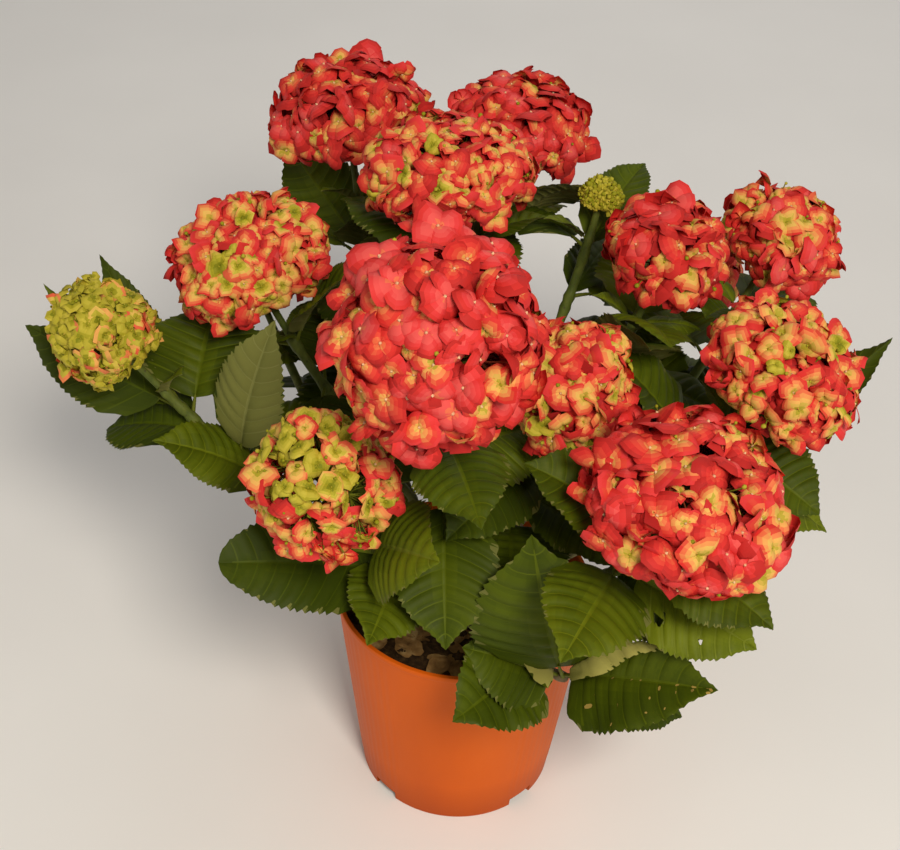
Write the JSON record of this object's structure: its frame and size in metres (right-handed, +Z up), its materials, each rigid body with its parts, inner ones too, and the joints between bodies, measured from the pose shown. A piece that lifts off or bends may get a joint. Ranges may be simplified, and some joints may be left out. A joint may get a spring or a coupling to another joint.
{
  "type": "potted hydrangea",
  "caption": "Bushy hydrangea in bloom with large rounded flower heads and broad leaves, growing from a woody crown in a tapered plastic pot of soil.",
  "frame": {"origin": "centre of the pot's flat underside", "axes": "+Z up the plant, -Y the plant's front, +X to the right as seen from the front"},
  "size_m": [0.648, 0.6262, 0.6216],
  "materials": {
    "pot_plastic": "terracotta orange, satin",
    "soil": "dark potting soil with dry scraps, rough",
    "wood": "grey-brown bark",
    "stem_green": "green shoots, smooth",
    "foliage": "dark green leaves, satin",
    "sepals_red": "coral red sepals with cream centres",
    "sepals_yellow": "yellow sepals with red rims",
    "sepals_green": "yellow-green unripe sepals"
  },
  "bodies": {
    "root": {"pot": "pot_plastic", "soil": "soil", "crown": "wood", "stem_back_left": "stem_green", "leaves_back_left": "foliage", "bloom_back_left": "sepals_red", "stem_back_middle": "stem_green", "leaves_back_middle": "foliage", "bloom_back_middle": "sepals_red", "stem_back_right": "stem_green", "leaves_back_right": "foliage", "bloom_back_right": "sepals_red", "stem_left_upper": "stem_green", "leaves_left_upper": "foliage", "bloom_left_upper": "sepals_yellow", "stem_left_outer": "stem_green", "leaves_left_outer": "foliage", "bloom_left_outer": "sepals_green", "stem_front_top": "stem_green", "leaves_front_top": "foliage", "bloom_front_top": "sepals_red", "stem_middle_right": "stem_green", "leaves_middle_right": "foliage", "bloom_middle_right": "sepals_red", "stem_front_left": "stem_green", "leaves_front_left": "foliage", "bloom_front_left": "sepals_yellow", "stem_right_upper": "stem_green", "leaves_right_upper": "foliage", "bloom_right_upper": "sepals_red", "stem_right_back": "stem_green", "leaves_right_back": "foliage", "bloom_right_back": "sepals_red", "stem_right_outer": "stem_green", "leaves_right_outer": "foliage", "bloom_right_outer": "sepals_red", "stem_front_right": "stem_green", "leaves_front_right": "foliage", "bloom_front_right": "sepals_red", "stem_green_bud": "stem_green", "leaves_green_bud": "foliage", "bloom_green_bud": "sepals_green", "stem_rear_low": "stem_green", "leaves_rear_low": "foliage", "bloom_rear_low": "sepals_red", "stem_rear_left": "stem_green", "leaves_rear_left": "foliage", "bloom_rear_left": "sepals_red", "stem_rear_right": "stem_green", "leaves_rear_right": "foliage", "bloom_rear_right": "sepals_red", "stem_low_front": "stem_green", "leaves_low_front": "foliage"}
  },
  "joints": []
}
